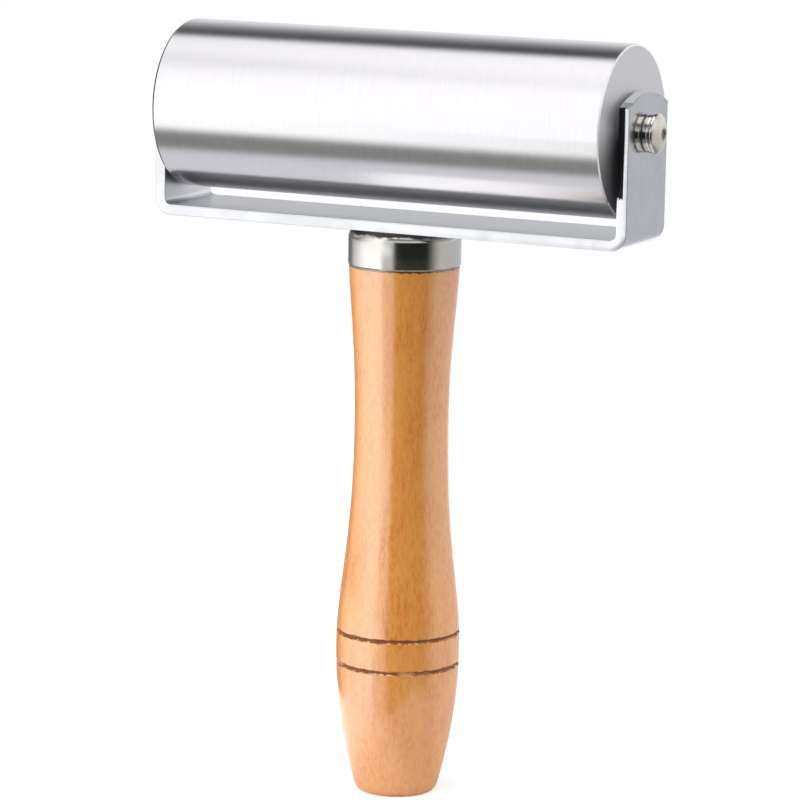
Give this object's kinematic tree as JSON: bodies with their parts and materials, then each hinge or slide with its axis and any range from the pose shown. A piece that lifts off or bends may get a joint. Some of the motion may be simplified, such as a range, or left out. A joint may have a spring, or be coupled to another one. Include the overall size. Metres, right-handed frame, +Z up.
{
  "type": "hand brayer",
  "caption": "Hand brayer with a smooth steel roller turning on ball bearings in a chromed strap yoke, on a turned wooden handle with a drawn metal ferrule.",
  "frame": {"origin": "centre of the flat butt at the bottom of the handle", "axes": "+Z up along the handle towards the roller, X along the roller's axle, Y across the strap's width"},
  "size_m": [0.1134, 0.035, 0.1593],
  "materials": {
    "roller_steel": "finely ground satin steel",
    "yoke_chrome": "bright chrome plate on bent strap",
    "ferrule_chrome": "bright plate on drawn sheet",
    "fastener_chrome": "bright plate",
    "axle_steel": "drawn bright bar",
    "bearing_steel": "ground and hardened",
    "cage_brass": "machined",
    "handle_wood": "honey-coloured gloss varnish"
  },
  "bodies": {
    "frame": {"yoke": "yoke_chrome", "handle": "handle_wood", "ferrule": "ferrule_chrome", "handle_tang": "axle_steel", "axle_rod": "axle_steel", "axle_screw_left": "fastener_chrome", "axle_screw_right": "fastener_chrome", "axle_washer_left": "fastener_chrome", "axle_washer_right": "fastener_chrome", "axle_spacer_left": "axle_steel", "axle_spacer_right": "axle_steel", "bearing_inner_race_left": "bearing_steel", "bearing_inner_race_right": "bearing_steel"},
    "roller": {"roller_shell": "roller_steel", "bearing_outer_race_left": "bearing_steel", "bearing_outer_race_right": "bearing_steel", "bearing_outer_shield_left": "bearing_steel", "bearing_outer_shield_right": "bearing_steel", "bearing_inner_shield_left": "bearing_steel", "bearing_inner_shield_right": "bearing_steel"},
    "left_ball_set": {"bearing_balls_left": "bearing_steel", "bearing_cage_left": "cage_brass"},
    "right_ball_set": {"bearing_balls_right": "bearing_steel", "bearing_cage_right": "cage_brass"}
  },
  "joints": [
    {"name": "roller_spin", "type": "hinge", "parent": "frame", "child": "roller", "pos_m": [0, 0, 0.1418], "axis": [1, 0, 0], "continuous": true},
    {"name": "left_ball_set_spin", "type": "hinge", "parent": "frame", "child": "left_ball_set", "pos_m": [-0.0473, 0, 0.1418], "axis": [1, 0, 0], "continuous": true},
    {"name": "right_ball_set_spin", "type": "hinge", "parent": "frame", "child": "right_ball_set", "pos_m": [0.0473, 0, 0.1418], "axis": [1, 0, 0], "continuous": true}
  ],
  "couplings": [
    {"joint": "left_ball_set_spin", "follows": "roller_spin", "ratio": 0.61333},
    {"joint": "right_ball_set_spin", "follows": "roller_spin", "ratio": 0.61333}
  ]
}
